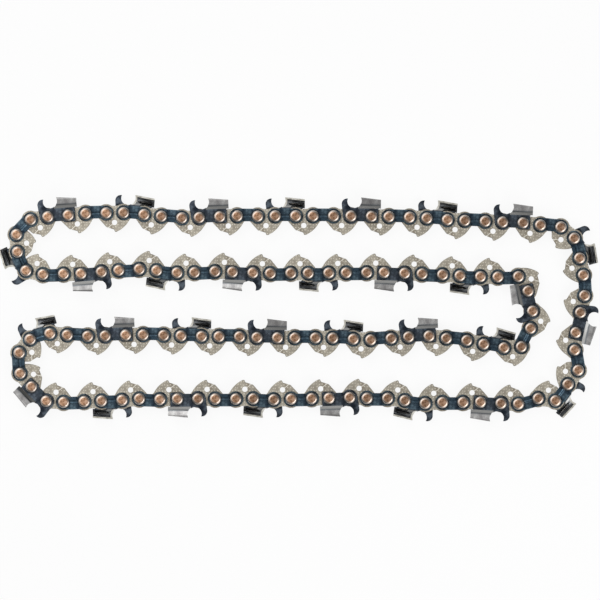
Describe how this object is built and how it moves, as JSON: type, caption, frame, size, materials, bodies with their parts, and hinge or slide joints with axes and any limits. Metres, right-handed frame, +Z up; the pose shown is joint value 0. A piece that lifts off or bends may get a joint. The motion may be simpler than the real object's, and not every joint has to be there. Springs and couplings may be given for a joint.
{
  "type": "chainsaw chain loop",
  "caption": "closed chainsaw chain lying on its side in a folded loop, with drive links, tie straps, left and right cutters and copper-toned rivets",
  "frame": {"origin": "middle of the loop's footprint, on the table that the chain lies on", "axes": "X along the two arms of the folded loop, Y across them, Z up from the table, across the chain"},
  "size_m": [0.261, 0.0986, 0.007],
  "materials": {
    "drive_link_steel": "bright tumbled steel with a faint straw tint",
    "blued_strap": "blue-black oxide, softly polished",
    "cutter_steel": "blue-black oxide with a hard-chromed tooth",
    "rivet_steel": "copper-toned, peened and polished by use"
  },
  "bodies": {
    "right_bend": {"right_bend_drive_links": "drive_link_steel", "right_bend_left_cutters": "cutter_steel", "right_bend_right_cutters": "cutter_steel", "right_bend_rivets": "rivet_steel", "right_bend_tie_straps": "blued_strap"},
    "top_run_left": {"top_run_left_drive_links": "drive_link_steel", "top_run_left_left_cutters": "cutter_steel", "top_run_left_right_cutters": "cutter_steel", "top_run_left_rivets": "rivet_steel", "top_run_left_tie_straps": "blued_strap"},
    "top_run_right": {"top_run_right_drive_links": "drive_link_steel", "top_run_right_left_cutters": "cutter_steel", "top_run_right_right_cutters": "cutter_steel", "top_run_right_rivets": "rivet_steel", "top_run_right_tie_straps": "blued_strap"},
    "bottom_run_right": {"bottom_run_right_drive_links": "drive_link_steel", "bottom_run_right_left_cutters": "cutter_steel", "bottom_run_right_right_cutters": "cutter_steel", "bottom_run_right_rivets": "rivet_steel", "bottom_run_right_tie_straps": "blued_strap"},
    "bottom_run_left": {"bottom_run_left_drive_links": "drive_link_steel", "bottom_run_left_left_cutters": "cutter_steel", "bottom_run_left_right_cutters": "cutter_steel", "bottom_run_left_rivets": "rivet_steel", "bottom_run_left_tie_straps": "blued_strap"},
    "lower_left_bend": {"lower_left_bend_drive_links": "drive_link_steel", "lower_left_bend_left_cutters": "cutter_steel", "lower_left_bend_right_cutters": "cutter_steel", "lower_left_bend_rivets": "rivet_steel", "lower_left_bend_tie_straps": "blued_strap"},
    "lower_return_left": {"lower_return_left_drive_links": "drive_link_steel", "lower_return_left_left_cutters": "cutter_steel", "lower_return_left_right_cutters": "cutter_steel", "lower_return_left_rivets": "rivet_steel", "lower_return_left_tie_straps": "blued_strap"},
    "lower_return_right": {"lower_return_right_drive_links": "drive_link_steel", "lower_return_right_left_cutters": "cutter_steel", "lower_return_right_right_cutters": "cutter_steel", "lower_return_right_rivets": "rivet_steel", "lower_return_right_tie_straps": "blued_strap"},
    "inner_bend": {"inner_bend_drive_links": "drive_link_steel", "inner_bend_left_cutters": "cutter_steel", "inner_bend_right_cutters": "cutter_steel", "inner_bend_rivets": "rivet_steel", "inner_bend_tie_straps": "blued_strap"},
    "upper_return_right": {"upper_return_right_drive_links": "drive_link_steel", "upper_return_right_left_cutters": "cutter_steel", "upper_return_right_right_cutters": "cutter_steel", "upper_return_right_rivets": "rivet_steel", "upper_return_right_tie_straps": "blued_strap"},
    "upper_return_left": {"upper_return_left_drive_links": "drive_link_steel", "upper_return_left_left_cutters": "cutter_steel", "upper_return_left_right_cutters": "cutter_steel", "upper_return_left_rivets": "rivet_steel", "upper_return_left_tie_straps": "blued_strap"},
    "upper_left_bend": {"upper_left_bend_drive_links": "drive_link_steel", "upper_left_bend_right_cutters": "cutter_steel", "upper_left_bend_rivets": "rivet_steel", "upper_left_bend_tie_straps": "blued_strap"}
  },
  "joints": [
    {"name": "upper_arm_swing", "type": "hinge", "parent": "right_bend", "child": "top_run_right", "pos_m": [0.06472, 0.03844, 0.0035], "axis": [0, 0, -1], "range_deg": [-0.5, 10]},
    {"name": "top_run_bend", "type": "hinge", "parent": "top_run_right", "child": "top_run_left", "pos_m": [-0.01779, 0.03997, 0.0035], "axis": [0, 0, -1], "range_deg": [-0.5, 10]},
    {"name": "upper_end_front", "type": "hinge", "parent": "top_run_left", "child": "upper_left_bend", "pos_m": [-0.1091, 0.03973, 0.0035], "axis": [0, 0, -1], "range_deg": [-20, 1]},
    {"name": "upper_end_rear", "type": "hinge", "parent": "upper_left_bend", "child": "upper_return_left", "pos_m": [-0.09466, 0.01503, 0.0035], "axis": [0, 0, -1], "range_deg": [-1, 20]},
    {"name": "upper_return_bend", "type": "hinge", "parent": "upper_return_left", "child": "upper_return_right", "pos_m": [-0.00335, 0.01527, 0.0035], "axis": [0, 0, -1], "range_deg": [-10, 0.5]},
    {"name": "inner_bend_upper", "type": "hinge", "parent": "upper_return_right", "child": "inner_bend", "pos_m": [0.07915, 0.01374, 0.0035], "axis": [0, 0, -1], "range_deg": [-10, 0.5]},
    {"name": "lower_arm_swing", "type": "hinge", "parent": "inner_bend", "child": "lower_return_right", "pos_m": [0.07319, -0.01403, 0.0035], "axis": [0, 0, 1], "range_deg": [-0.5, 8.5]},
    {"name": "lower_return_bend", "type": "hinge", "parent": "lower_return_right", "child": "lower_return_left", "pos_m": [-0.02568, -0.0124, 0.0035], "axis": [0, 0, 1], "range_deg": [-0.5, 8.5]},
    {"name": "lower_end_rear", "type": "hinge", "parent": "lower_return_left", "child": "lower_left_bend", "pos_m": [-0.08413, -0.01205, 0.0035], "axis": [0, 0, 1], "range_deg": [-17, 1]},
    {"name": "lower_end_front", "type": "hinge", "parent": "lower_left_bend", "child": "bottom_run_left", "pos_m": [-0.06923, -0.0394, 0.0035], "axis": [0, 0, 1], "range_deg": [-1, 17]},
    {"name": "bottom_run_bend", "type": "hinge", "parent": "bottom_run_left", "child": "bottom_run_right", "pos_m": [-0.01078, -0.03975, 0.0035], "axis": [0, 0, 1], "range_deg": [-8.5, 0.5]}
  ],
  "couplings": [
    {"joint": "top_run_bend", "follows": "upper_arm_swing", "ratio": 1},
    {"joint": "upper_end_front", "follows": "upper_arm_swing", "ratio": -2},
    {"joint": "upper_end_rear", "follows": "upper_arm_swing", "ratio": 2},
    {"joint": "upper_return_bend", "follows": "upper_arm_swing", "ratio": -1},
    {"joint": "inner_bend_upper", "follows": "upper_arm_swing", "ratio": -1},
    {"joint": "lower_return_bend", "follows": "lower_arm_swing", "ratio": 1},
    {"joint": "lower_end_rear", "follows": "lower_arm_swing", "ratio": -2},
    {"joint": "lower_end_front", "follows": "lower_arm_swing", "ratio": 2},
    {"joint": "bottom_run_bend", "follows": "lower_arm_swing", "ratio": -1}
  ]
}
